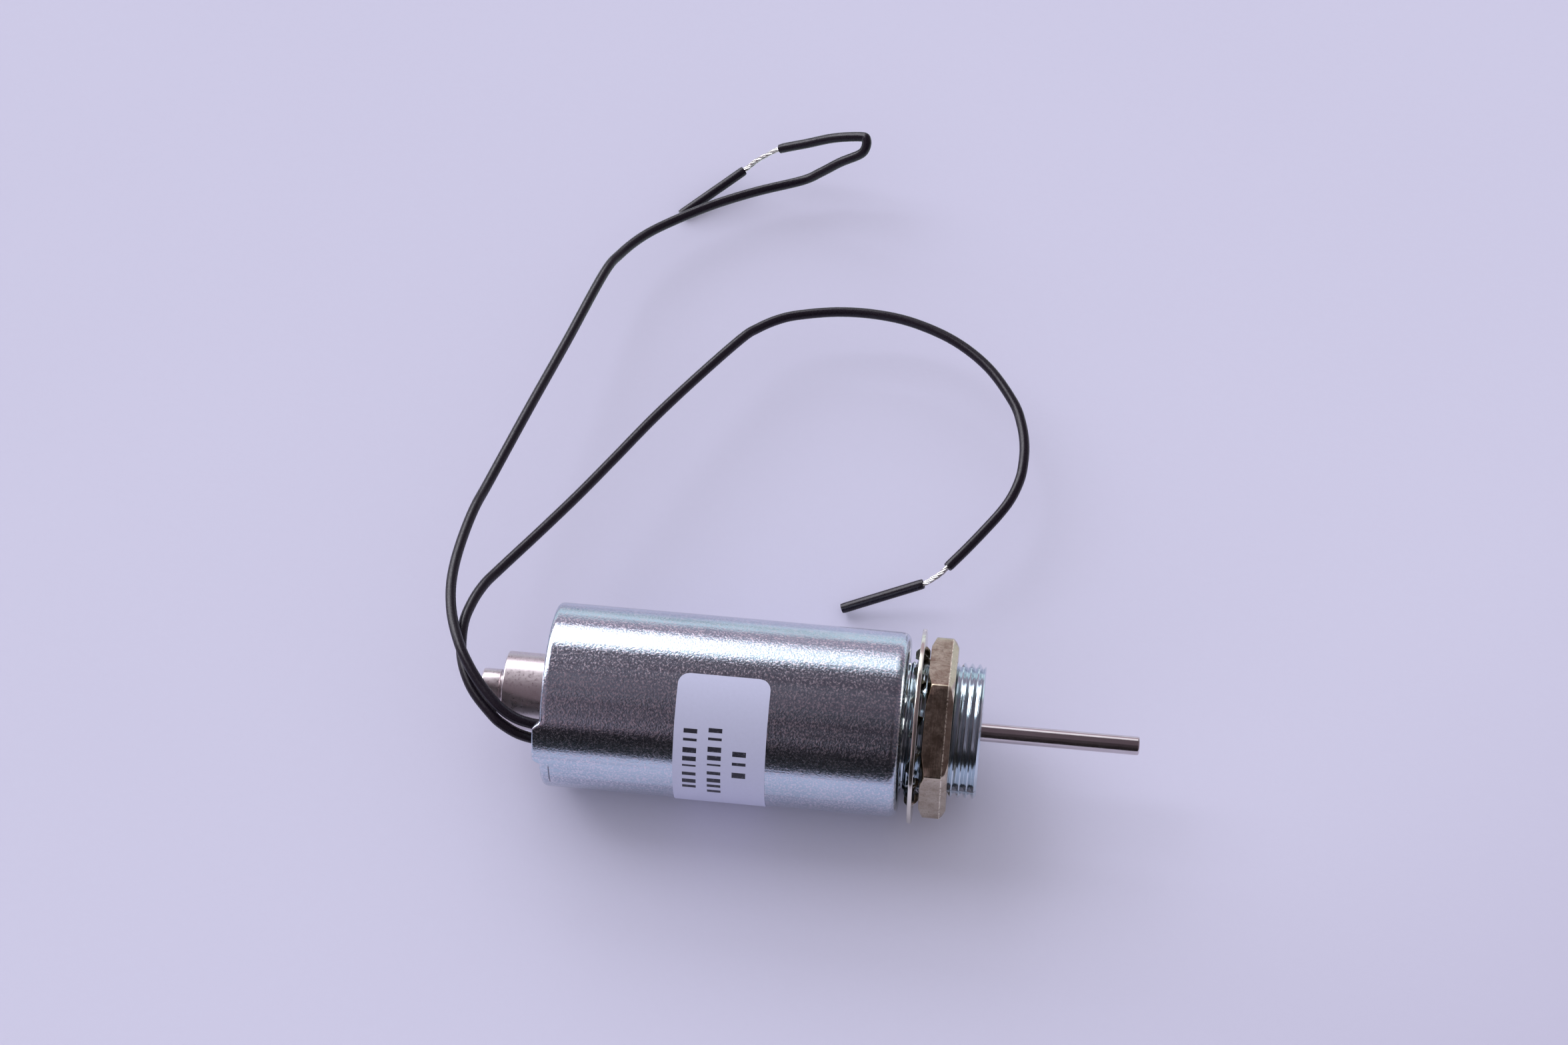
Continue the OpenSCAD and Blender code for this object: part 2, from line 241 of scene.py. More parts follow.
def turned_bar(profile, sides=128):
    """A solid bar of a profile of (x, r) points, whose first and last points lie on the axis."""
    angles = np.linspace(0, 360, sides, endpoint=False)
    rings = profile[1:-1]
    points = around(rings[:, 0][:, None], rings[:, 1][:, None], angles[None, :]).reshape(-1, 3)
    faces = grid_faces(len(rings), sides, False, True).tolist()
    first = len(points)
    points = np.vstack([points, (profile[0][0], 0, 0), (profile[-1][0], 0, 0)])
    last_ring = (len(rings) - 1) * sides
    for k in range(sides):
        n = (k + 1) % sides
        faces.append((first, n, k))
        faces.append((first + 1, last_ring + k, last_ring + n))
    return points, faces


def smooth_path(points, steps):
    """A smooth curve through the points."""
    points = np.array(points, float)
    last = len(points) - 1
    t = np.arange(steps)[:, None] / steps
    out = []
    for i in range(last):
        a, b = points[max(i - 1, 0)], points[i]
        c, d = points[i + 1], points[min(i + 2, last)]
        out.append(
            (2 * b + (c - a) * t + (2 * a - 5 * b + 4 * c - d) * t**2 + (3 * b - a - 3 * c + d) * t**3) / 2
        )
    out.append(points[-1:])
    return np.vstack(out)


def stretch_end(at, facing, length, turn):
    """Where a stretch seen from above ends, when it sets off along facing and turns evenly."""
    start = math.radians(facing)
    if turn == 0:
        return at[0] + length * math.cos(start), at[1] + length * math.sin(start)
    end = math.radians(facing - turn)
    r = length / math.radians(turn)
    return at[0] + r * (math.sin(start) - math.sin(end)), at[1] + r * (math.cos(end) - math.cos(start))


def course_points(letter):
    """The way points of a lead, from its splice to its free end, with its changes of slope eased."""
    angle = math.radians(SPLICE_ANGLES[letter])
    at = (LEAD_START_X, -SPLICE_R * math.cos(angle))
    height = SPLICE_R * math.sin(angle)
    facing = 180.0
    points = []
    for length, turn, end_height in LEAD_COURSES[letter]:
        for k in range(LEAD_PARTS):
            share = k / LEAD_PARTS
            place = stretch_end(at, facing, length * share, turn * share)
            points.append((*place, height + (end_height - height) * share))
        at = stretch_end(at, facing, length, turn)
        facing -= turn
        height = end_height
    points = np.array([*points, (*at, height)])
    heights = points[:, 2].copy()
    points[1:-1, 2] = (heights[:-2] + 2 * heights[1:-1] + heights[2:]) / 4
    return points


def frames_along(path):
    """Two directions across the path at each of its points, which don't twist along it."""
    ahead = np.gradient(path, axis=0)
    ahead /= np.linalg.norm(ahead, axis=1)[:, None]
    across = np.cross(ahead[0], (0, 0, 1.0))
    across /= np.linalg.norm(across)
    first, second = [], []
    for direction in ahead:
        across = across - direction * (across @ direction)
        across /= np.linalg.norm(across)
        first.append(across)
        second.append(np.cross(direction, across))
    return np.array(first), np.array(second)


def distance_along(path):
    steps = np.linalg.norm(np.diff(path, axis=0), axis=1)
    return np.concatenate([[0.0], np.cumsum(steps)])


def tube(path, in_r, out_r, sides=24):
    """A closed tube along a path with bevelled cut ends, and where each point lies round and along it."""
    first, second = frames_along(path)
    along = distance_along(path)
    last = len(path) - 1
    edge = 0.05
    rows = [(0, out_r - edge)]
    rows += [(i, out_r) for i in range(1, last)]
    rows += [(last, out_r - edge), (last, in_r)]
    rows += [(i, in_r) for i in range(last - 1, 0, -1)]
    rows += [(0, in_r)]
    angle = np.linspace(0, 2 * math.pi, sides, endpoint=False)
    points, placed = [], []
    for i, radius in rows:
        outward = np.cos(angle)[:, None] * first[i] + np.sin(angle)[:, None] * second[i]
        points.append(path[i] + radius * outward)
        placed.append(np.stack([np.cos(angle), np.sin(angle), np.full(sides, along[i])], axis=1))
    faces = grid_faces(len(rows), sides, True, True)
    return np.vstack(points), faces, np.vstack(placed)


def wire(path, radius, sides=8):
    """A solid round wire along a path."""
    first, second = frames_along(path)
    angle = np.linspace(0, 2 * math.pi, sides, endpoint=False)
    points = (
        path[:, None, :]
        + radius * np.cos(angle)[None, :, None] * first[:, None, :]
        + radius * np.sin(angle)[None, :, None] * second[:, None, :]
    ).reshape(-1, 3)
    faces = grid_faces(len(path), sides, False, True).tolist()
    faces.append(list(range(sides))[::-1])
    faces.append([(len(path) - 1) * sides + k for k in range(sides)])
    return points, faces


def join(shapes):
    """One list of points and faces from several."""
    points, faces, count = [], [], 0
    for shape_points, shape_faces in shapes:
        points.append(shape_points)
        faces.extend([[count + v for v in face] for face in shape_faces])
        count += len(shape_points)
    return np.vstack(points), faces


def make_piece(name, body, node, shape, slot, finishes, sharp=35.0, placed=None):
    """A mesh object that rides on a body, stands for a CAD node and has its slot's finish."""
    points, faces = shape
    mesh = bpy.data.meshes.new(name)
    mesh.from_pydata((np.asarray(points) * MM).tolist(), [], [list(map(int, f)) for f in faces])
    if placed is not None:
        attribute = mesh.attributes.new("placed", "FLOAT_VECTOR", "POINT")
        attribute.data.foreach_set("vector", placed.astype(np.float32).ravel())
    work = bmesh.new()
    work.from_mesh(mesh)
    bmesh.ops.remove_doubles(work, verts=work.verts, dist=1e-7)
    bmesh.ops.dissolve_degenerate(work, edges=work.edges, dist=1e-8)
    bmesh.ops.recalc_face_normals(work, faces=work.faces)
    work.to_mesh(mesh)
    work.free()
    mesh.shade_smooth()
    mesh.set_sharp_from_angle(angle=math.radians(sharp))
    mesh.materials.append(finishes[slot])
    made = bpy.data.objects.new(name, mesh)
    bpy.context.scene.collection.objects.link(made)
    weighted = made.modifiers.new("weighted_normals", "WEIGHTED_NORMAL")
    weighted.keep_sharp = True
    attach(made, body)
    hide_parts(node)


# ---- finishes ----


class Tree:
    """Short names for building a tree of shader nodes."""

    def __init__(self, tree):
        self.tree = tree

    def node(self, kind, inputs=None, **settings):
        made = self.tree.nodes.new(kind)
        for key, value in settings.items():
            setattr(made, key, value)
        for key, value in (inputs or {}).items():
            self.feed(made.inputs[key], value)
        return made

    def feed(self, socket, value):
        if isinstance(value, bpy.types.NodeSocket):
            self.tree.links.new(value, socket)
        else:
            socket.default_value = value

    def math(self, operation, a, b=0.0, c=0.0):
        return self.node("ShaderNodeMath", {0: a, 1: b, 2: c}, operation=operation).outputs[0]

    def ramp_value(self, value, from_low, from_high, to_low=0.0, to_high=1.0, smooth=False):
        limits = {"From Min": from_low, "From Max": from_high, "To Min": to_low, "To Max": to_high}
        kind = "SMOOTHSTEP" if smooth else "LINEAR"
        made = self.node("ShaderNodeMapRange", {"Value": value, **limits}, interpolation_type=kind)
        return made.outputs["Result"]

    def band(self, value, low, high, edge):
        """1 between low and high, and 0 outside, with soft edges."""
        rise = self.ramp_value(value, low - edge, low + edge, smooth=True)
        fall = self.ramp_value(value, high - edge, high + edge, smooth=True)
        return self.math("SUBTRACT", rise, fall)

    def mix(self, factor, a, b, blend="MIX"):
        made = self.node("ShaderNodeMix", data_type="RGBA", blend_type=blend)
        self.feed(made.inputs["Factor"], factor)
        self.feed(made.inputs[6], a)
        self.feed(made.inputs[7], b)
        return made.outputs[2]

    def noise(self, vector, scale, detail=2.0, roughness=0.5):
        made = self.node(
            "ShaderNodeTexNoise", {"Vector": vector, "Scale": scale, "Detail": detail, "Roughness": roughness}
        )
        return made.outputs["Fac"]

    def stretched(self, vector, scale):
        return self.node("ShaderNodeMapping", {"Vector": vector, "Scale": scale}).outputs["Vector"]

    def own_place(self):
        return self.node("ShaderNodeTexCoord").outputs["Object"]

    def attribute(self, name):
        return self.node("ShaderNodeAttribute", attribute_name=name).outputs["Vector"]

    def parts(self, vector):
        return self.node("ShaderNodeSeparateXYZ", {"Vector": vector}).outputs

    def angle_round(self, y, z):
        """Degrees above the horizontal on the -Y side."""
        return self.math("DEGREES", self.math("ARCTAN2", z, self.math("MULTIPLY", y, -1.0)))

    def around_axis(self, vector):
        """The vector as distance along the X axis and distance from it."""
        x, y, z = self.parts(vector)
        squares = self.math("ADD", self.math("MULTIPLY", y, y), self.math("MULTIPLY", z, z))
        return self.node("ShaderNodeCombineXYZ", {"X": x, "Y": self.math("SQRT", squares)}).outputs["Vector"]

    def bump(self, height, depth, strength=1.0):
        made = self.node("ShaderNodeBump", {"Height": height, "Distance": depth, "Strength": strength})
        return made.outputs["Normal"]


def colour(r, g, b):
    return (r, g, b, 1.0)


def new_finish(name):
    material = bpy.data.materials.new(name)
    material.use_nodes = True
    return material, Tree(material.node_tree), material.node_tree.nodes["Principled BSDF"].inputs


def plated(name, base, stain, roughness, grain, grain_depth, turned):
    """Bare or plated metal with cloudy stains and a fine grain, which runs round turned metal."""
    material, tree, inputs = new_finish(name)
    place = tree.own_place()
    cloud = tree.ramp_value(tree.noise(place, 400.0, 4.0, 0.6), 0.35, 0.7)
    tint = tree.mix(tree.math("MULTIPLY", cloud, 0.5), colour(*base), colour(*stain))
    grain_place = tree.around_axis(place) if turned else place
    fine = tree.noise(tree.stretched(grain_place, grain), 1.0, 3.0, 0.6)
    tree.feed(inputs["Base Color"], tint)
    tree.feed(inputs["Metallic"], 1.0)
    tree.feed(inputs["Roughness"], tree.ramp_value(fine, 0.3, 0.7, roughness * 0.8, roughness * 1.25))
    tree.feed(inputs["Normal"], tree.bump(fine, grain_depth))
    return material


def zinc_sheet():
    """Bright zinc on drawn sheet: a blue cast, a fine speckle, faint lines along the can, and one score."""
    material, tree, inputs = new_finish("zinc_bright")
    place = tree.own_place()
    speckle = tree.noise(place, 3300.0, 2.0, 0.7)
    drawn = tree.noise(tree.stretched(place, (9.0, 420.0, 420.0)), 1.0, 4.0, 0.6)
    cloud = tree.ramp_value(tree.noise(place, 130.0, 3.0, 0.5), 0.35, 0.65)
    tint = tree.mix(cloud, colour(0.50, 0.62, 0.71), colour(0.56, 0.68, 0.76))
    streaks = tree.ramp_value(drawn, 0.40, 0.62, 0.0, 0.75)
    tint = tree.mix(streaks, tint, colour(0.40, 0.44, 0.52))
    grains = tree.ramp_value(speckle, 0.49, 0.62, 0.0, 0.75)
    tint = tree.mix(grains, tint, colour(0.88, 0.82, 0.88))
    x, y, z = tree.parts(place)
    angle = tree.angle_round(y, z)
    score = tree.band(x, (SCORE_X - 0.09) * MM, (SCORE_X + 0.09) * MM, 0.04 * MM)
    score = tree.math("MULTIPLY", score, tree.band(angle, SCORE_FROM, SCORE_TO, 1.5))
    tint = tree.mix(tree.math("MULTIPLY", score, 0.8), tint, colour(0.10, 0.10, 0.13))
    height = tree.math("ADD", speckle, tree.math("MULTIPLY", drawn, 1.5))
    tree.feed(inputs["Base Color"], tint)
    tree.feed(inputs["Metallic"], 1.0)
    tree.feed(inputs["Roughness"], tree.ramp_value(speckle, 0.35, 0.65, 0.10, 0.25))
    tree.feed(inputs["Normal"], tree.bump(height, 0.000022))
    return material


def nut_nickel():
    """Worn nickel on machined flats: warm, mottled and speckled."""
    material, tree, inputs = new_finish("nickel_warm")
    place = tree.own_place()
    mottle = tree.ramp_value(tree.noise(place, 600.0, 6.0, 0.7), 0.38, 0.62)
    specks = tree.ramp_value(tree.noise(place, 3500.0, 2.0, 0.5), 0.58, 0.66)
    tint = tree.mix(mottle, colour(0.44, 0.36, 0.26), colour(0.62, 0.54, 0.42))
    tint = tree.mix(tree.math("MULTIPLY", specks, 0.6), tint, colour(0.30, 0.24, 0.18))
    edge_x = NUT_X + NUT_T - NUT_BEVEL_L
    edge = tree.band(tree.parts(place)[0], (edge_x - 0.07) * MM, (edge_x + 0.1) * MM, 0.04 * MM)
    worn = tree.math("MULTIPLY", edge, tree.ramp_value(tree.noise(place, 2600.0, 3.0, 0.7), 0.42, 0.56))
    tint = tree.mix(worn, tint, colour(0.95, 0.88, 0.74))
    rough = tree.ramp_value(mottle, 0.0, 1.0, 0.13, 0.24)
    rough = tree.math("ADD", rough, tree.math("MULTIPLY", worn, 0.35))
    milled = tree.noise(tree.stretched(place, (4000.0, 250.0, 250.0)), 1.0, 2.0, 0.5)
    height = tree.math("ADD", tree.math("MULTIPLY", mottle, 0.6), milled)
    tree.feed(inputs["Base Color"], tint)
    tree.feed(inputs["Metallic"], 1.0)
    tree.feed(inputs["Roughness"], rough)
    tree.feed(inputs["Normal"], tree.bump(height, 0.000008))
    return material


def pvc():
    """Black lead insulation with fine lines along it."""
    material, tree, inputs = new_finish("black_pvc")
    placed = tree.attribute("placed")
    lines = tree.noise(tree.stretched(placed, (9.0, 9.0, 0.35)), 1.0, 3.0, 0.6)
    pits = tree.noise(tree.stretched(placed, (3.0, 3.0, 2.6)), 1.0, 3.0, 0.7)
    tint = tree.mix(lines, colour(0.006, 0.004, 0.008), colour(0.013, 0.009, 0.017))
    height = tree.math("ADD", lines, tree.math("MULTIPLY", pits, 0.8))
    tree.feed(inputs["Base Color"], tint)
    tree.feed(inputs["Roughness"], tree.ramp_value(pits, 0.3, 0.7, 0.2, 0.4))
    tree.feed(inputs["Specular IOR Level"], 0.32)
    tree.feed(inputs["Normal"], tree.bump(height, 0.000012))
    return material


def label_paper():
    """Coated paper, darkened with painted shade, with three rows of plain printed marks."""
    material, tree, inputs = new_finish("label_paper")
    place = tree.own_place()
    x, y, z = tree.parts(place)
    angle = tree.angle_round(y, z)
    ink = 0.0
    rear_edge = (LABEL_X - LABEL_WIDTH / 2) * MM
    soft = 0.00003
    for offset, first, last, marks in PRINT_ROWS:
        middle = rear_edge + offset * MM
        line = tree.band(x, middle - PRINT_HEIGHT / 2 * MM, middle + PRINT_HEIGHT / 2 * MM, soft)
        count = tree.ramp_value(angle, first, last, 0.0, float(marks))
        within = tree.math("FRACT", count)
        chance = tree.node(
            "ShaderNodeTexWhiteNoise", {"W": tree.math("FLOOR", count)}, noise_dimensions="1D"
        ).outputs["Value"]
        width = tree.ramp_value(chance, 0.0, 1.0, 0.35, 0.75)
        mark = tree.math("MULTIPLY", tree.math("GREATER_THAN", within, 0.12), line)
        mark = tree.math("MULTIPLY", mark, tree.math("LESS_THAN", within, width))
        mark = tree.math("MULTIPLY", mark, tree.math("GREATER_THAN", count, 0.001))
        mark = tree.math("MULTIPLY", mark, tree.math("LESS_THAN", count, marks - 0.001))
        ink = tree.math("ADD", ink, mark)
    fibre = tree.noise(place, 2500.0, 4.0, 0.6)
    # The paper's colour is darker than white paper: painted shade, for the shaded side of the can where the
    # label lies.
    paper = tree.mix(fibre, colour(0.51, 0.52, 0.70), colour(0.56, 0.57, 0.76))
    worn = tree.math("MULTIPLY", ink, tree.ramp_value(fibre, 0.25, 0.45, 0.85, 1.0))
    tree.feed(inputs["Base Color"], tree.mix(worn, paper, colour(0.02, 0.02, 0.035)))
    tree.feed(inputs["Roughness"], 0.5)
    tree.feed(inputs["Normal"], tree.bump(fibre, 0.000006))
    return material


def moulded(name, base, dark, roughness):
    """Plastic, tape or sleeve with a slight mottle."""
    material, tree, inputs = new_finish(name)
    place = tree.own_place()
    mottle = tree.noise(place, 700.0, 4.0, 0.6)
    tree.feed(inputs["Base Color"], tree.mix(mottle, colour(*base), colour(*dark)))
    tree.feed(inputs["Roughness"], tree.ramp_value(mottle, 0.3, 0.7, roughness * 0.85, roughness * 1.15))
    tree.feed(inputs["Normal"], tree.bump(mottle, 0.00002))
    return material


def wound_copper():
    """Enamelled wire, wound in close turns."""
    turn_pitch = 0.32 * MM
    material, tree, inputs = new_finish("copper")
    x, y, z = tree.parts(tree.own_place())
    turn = tree.math("SINE", tree.math("MULTIPLY", x, 2 * math.pi / turn_pitch))
    # Painted shade: the colour is darker in the grooves between turns and lighter on their crests, following
    # the bump.
    tint = tree.mix(tree.ramp_value(turn, -1.0, 1.0), colour(0.30, 0.12, 0.06), colour(0.70, 0.34, 0.18))
    tree.feed(inputs["Base Color"], tint)
    tree.feed(inputs["Metallic"], 0.8)
    tree.feed(inputs["Roughness"], 0.35)
    tree.feed(inputs["Normal"], tree.bump(turn, 0.00008))
    return material


def metals():
    """Plated and bare metals: colour, stain, roughness, grain, depth of the grain, and if turned."""
    lathe = (7000.0, 7000.0, 1.0)
    even = (3000.0, 3000.0, 3000.0)
    ground = (500.0, 4000.0, 4000.0)
    looks = {
        "zinc_turned": ((0.66, 0.75, 0.80), (0.52, 0.62, 0.66), 0.14, lathe, 0.000003, True),
        "steel_plate": ((0.50, 0.51, 0.53), (0.36, 0.36, 0.38), 0.38, even, 0.00001, False),
        "brass": ((0.80, 0.60, 0.30), (0.62, 0.44, 0.20), 0.25, lathe, 0.000006, True),
        "bronze": ((0.62, 0.42, 0.24), (0.40, 0.26, 0.14), 0.42, even, 0.00001, False),
        "tinned_wire": ((0.76, 0.75, 0.73), (0.55, 0.53, 0.50), 0.28, even, 0.00001, False),
        "nickel_satin": ((0.66, 0.60, 0.61), (0.56, 0.50, 0.51), 0.31, even, 0.000002, False),
        "rod_steel": ((0.68, 0.63, 0.64), (0.58, 0.52, 0.52), 0.14, ground, 0.000003, False),
        "nickel_bright": ((0.82, 0.79, 0.70), (0.66, 0.61, 0.50), 0.16, even, 0.000005, False),
    }
    return {name: plated(name, *look) for name, look in looks.items()}


def plastics():
    """Mouldings, tape and sleeving: colour, darker colour and roughness."""
    looks = {
        "nylon": ((0.80, 0.77, 0.68), (0.70, 0.66, 0.56), 0.45),
        "amber_tape": ((0.72, 0.48, 0.12), (0.60, 0.36, 0.08), 0.30),
        "clear_sleeve": ((0.22, 0.22, 0.24), (0.30, 0.30, 0.32), 0.35),
    }
    return {name: moulded(name, *look) for name, look in looks.items()}


def all_finishes():
    return {
        **metals(),
        **plastics(),
        "zinc_bright": zinc_sheet(),
        "copper": wound_copper(),
        "label_paper": label_paper(),
        "black_pvc": pvc(),
        "nickel_warm": nut_nickel(),
    }


# ---- the pieces ----


def can_shape():
    """The drawn can. Its rear edge is rolled in all round, except at the tab over the leads."""
    tab_x = -CAN_LENGTH - TAB_OUT
    inside = [
        (-CAN_LENGTH + CAN_WALL, BORE_R, 0.1),
        (-CAN_WALL, BORE_R, 0.6),
        (-CAN_WALL, NUT_BORE_R, 0.1),
    ]
    front = [(0.0, NUT_BORE_R, 0.15), (0.0, CAN_R, CAN_CORNER_R)]
    rolled = front + [
        (-CAN_LENGTH, CAN_R, RIM_R),
        (-CAN_LENGTH, RIM_IN_R, 0.3),
        (-CAN_LENGTH + CAN_WALL, RIM_IN_R, 0.1),
    ]
    tab = front + [
        (tab_x, CAN_R, 0.3),
        (tab_x, BORE_R, 0.2),
        (-CAN_LENGTH, BORE_R, 0.1),
    ]
    rolled = rounded(rolled + inside, 8)
    tab = rounded(tab + inside, 8)
    reach = TAB_HALF_SPAN + TAB_SHOULDER_SPAN + 2
    angles = np.unique(
        np.concatenate([np.arange(0, 360, 2.0), np.arange(TAB_ANGLE - reach, TAB_ANGLE + reach, 0.5) % 360])
    )
    away = np.abs((angles - TAB_ANGLE + 180) % 360 - 180)
    share = 1 - smoothstep(away, TAB_HALF_SPAN - 1, TAB_HALF_SPAN + TAB_SHOULDER_SPAN)
    profile = rolled[:, None, :] * (1 - share[None, :, None]) + tab[:, None, :] * share[None, :, None]
    points = around(profile[:, :, 0], profile[:, :, 1], angles[None, :])
    return points.reshape(-1, 3), grid_faces(len(rolled), len(angles), True, True)


def thread_radius(x, angle):
    """Radius of the threaded nose, with a relief behind the thread and a chamfer in front of it."""
    phase = ((x - THREAD_START) / THREAD_PITCH - angle / 360.0) % 1.0
    groove = np.clip((0.42 - np.abs(phase - 0.58)) / 0.38, 0, 1)
    root_r = THREAD_R - THREAD_DEPTH
    radius = THREAD_R - THREAD_DEPTH * groove
    relief = root_r + np.clip(x - (THREAD_START - THREAD_RELIEF), 0, None) * THREAD_RELIEF_SLOPE
    chamfer = THREAD_R - NOSE_CHAMFER + (NOSE_LENGTH - x)
    return np.minimum(np.minimum(radius, relief), chamfer)


def nose_shape():
    """The fixed pole: the nose with its right-hand thread, its flange and the core in the can."""
    angles = np.linspace(0, 360, 240, endpoint=False)
    fine = np.arange(NOSE_REAR_X - THREAD_PITCH, NOSE_LENGTH + 0.001, THREAD_PITCH / 20)
    x = np.clip(fine[:, None] + THREAD_PITCH * angles[None, :] / 360.0, NOSE_REAR_X, NOSE_LENGTH)
    outer = around(x, thread_radius(x, angles[None, :]), angles[None, :])
    seam_r = THREAD_R - THREAD_DEPTH - 0.02
    rest = rounded(
        [
            (NOSE_LENGTH, seam_r, 0.0),
            (NOSE_LENGTH, BUSH_R, 0.15),
            (BUSH_REAR_X, BUSH_R, 0.05),
            (BUSH_REAR_X, ROD_HOLE_R, 0.05),
            (RECESS_X, ROD_HOLE_R, 0.05),
            (RECESS_X, RECESS_R, 0.05),
            (POLE_X, POLE_MOUTH_R, 0.05),
            (POLE_X, PLUNGER_R, 0.05),
            (CORE_X, PLUNGER_R, 0.05),
            (CORE_X, FLANGE_R, 0.05),
            (FLANGE_X - FLANGE_CHAMFER, FLANGE_R, 0.05),
            (FLANGE_X, FLANGE_R - FLANGE_CHAMFER, 0.05),
            (FLANGE_X, THREAD_R, 0.05),
            (-CAN_WALL, THREAD_R, 0.02),
            (NOSE_REAR_X, seam_r, 0.0),
        ],
        4,
        closed=False,
    )
    rest = around(rest[:, 0][:, None], rest[:, 1][:, None], angles[None, :])
    points = np.concatenate([outer, rest])
    return points.reshape(-1, 3), grid_faces(len(points), len(angles), True, True)


def nut_shape():
    """A thin hexagon nut, chamfered on both faces, with worn corners."""
    sides = NUT_FLAT_ANGLE + 60.0 * np.arange(6)
    step = np.concatenate([np.linspace(0, 24, 9), np.linspace(25, 30, 11)])
    turn = np.unique(np.concatenate([-step, step]))[:-1]
    angles = (sides[:, None] + turn[None, :]).ravel()
    facing = np.clip(np.cos(np.radians(angles[:, None] - sides[None, :])), 0, None)
    power = 70.0
    hexagon = NUT_FLATS / 2 / (facing**power).sum(1) ** (1 / power)
    front = NUT_X + NUT_T
    mouth_r = NUT_BORE_R + NUT_BORE_CHAMFER
    columns = []
    for radius in hexagon:
        rear_drop = max(radius - CHAMFER_R, 0.05) * CHAMFER_SLOPE
        front_drop = max(radius - NUT_BEVEL_R - CHAMFER_R, 0.0) * CHAMFER_SLOPE
        columns.append(
            rounded(
                [
                    (NUT_X, mouth_r, 0.1),
                    (NUT_X, min(CHAMFER_R, radius - 0.05), 0.1),
                    (NUT_X + rear_drop, radius, 0.1),
                    (front - NUT_BEVEL_L, radius, 0.05),
                    (front - front_drop - 0.03, radius - NUT_BEVEL_R, 0.08),
                    (front, min(CHAMFER_R, radius - NUT_BEVEL_R - 0.03), 0.08),
                    (front, mouth_r, 0.1),
                    (front - NUT_BORE_CHAMFER, NUT_BORE_R, 0.1),
                    (NUT_X + NUT_BORE_CHAMFER, NUT_BORE_R, 0.1),
                ]
            )
        )
    profile = np.array(columns).transpose(1, 0, 2)
    points = around(profile[:, :, 0], profile[:, :, 1], angles[None, :])
    return points.reshape(-1, 3), grid_faces(len(profile), len(angles), True, True)


def washer_shape():
    """An internal-tooth lock washer. Each tooth is twisted about the line from the axis through it."""
    half = WASHER_T / 2
    ring = lathe(
        rounded(
            [
                (WASHER_X - half, WASHER_IN_R, 0.08),
                (WASHER_X - half, WASHER_R, 0.14),
                (WASHER_X + half, WASHER_R, 0.14),
                (WASHER_X + half, WASHER_IN_R, 0.08),
            ]
        )
    )
    shapes = [ring]
    out = np.concatenate([[WASHER_IN_R + 0.5], np.linspace(WASHER_IN_R + 0.1, TOOTH_TIP_R, 12)])
    edge = rounded(
        [
            (-TOOTH_WIDTH / 2, -half + 0.02, 0.12),
            (TOOTH_WIDTH / 2, -half + 0.02, 0.12),
            (TOOTH_WIDTH / 2, half - 0.02, 0.12),
            (-TOOTH_WIDTH / 2, half - 0.02, 0.12),
        ]
    )
    for k in range(TOOTH_COUNT):
        twist = np.radians(TOOTH_TWIST) * smoothstep(-out, -WASHER_IN_R - 0.1, -WASHER_IN_R + 0.9)
        side = edge[None, :, 0] * np.cos(twist)[:, None] - edge[None, :, 1] * np.sin(twist)[:, None]
        ahead = edge[None, :, 0] * np.sin(twist)[:, None] + edge[None, :, 1] * np.cos(twist)[:, None]
        rows = np.stack([WASHER_X + ahead, side, np.broadcast_to(out[:, None], side.shape)], axis=-1)
        turn = np.radians(360.0 * k / TOOTH_COUNT)
        spin = np.array([[1, 0, 0], [0, np.cos(turn), -np.sin(turn)], [0, np.sin(turn), np.cos(turn)]])
        points = rows.reshape(-1, 3) @ spin.T
        count = len(edge)
        faces = grid_faces(len(out), count, False, True).tolist()
        faces.append(list(range(count)))
        faces.append([(len(out) - 1) * count + j for j in range(count)])
        shapes.append((points, faces))
    return join(shapes)


def plunger_shape():
    """The plunger with its stub, and the cone at its front end."""
    relief_x = PLUNGER_REAR_X - STUB_RELIEF_L
    relief_r = STUB_R - STUB_RELIEF_DEPTH
    profile = rounded(
        [
            (STUB_X, 0.0, 0.0),
            (STUB_X, STUB_R, 0.3),
            (relief_x, STUB_R, 0.06),
            (relief_x, relief_r, 0.05),
            (PLUNGER_REAR_X, relief_r, 0.08),
            (PLUNGER_REAR_X, PLUNGER_R, 0.22),
            (CONE_X, PLUNGER_R, 0.1),
            (CONE_TIP_X, CONE_TIP_R, 0.1),
            (CONE_TIP_X, 0.0, 0.0),
        ],
        5,
        closed=False,
    )
    return turned_bar(profile)


def rod_shape():
    profile = rounded(
        [
            (ROD_REAR_X, 0.0, 0.0),
            (ROD_REAR_X, ROD_R, 0.1),
            (ROD_TIP_X, ROD_R, 0.32),
            (ROD_TIP_X, 0.0, 0.0),
        ],
        5,
        closed=False,
    )
    return turned_bar(profile, 64)


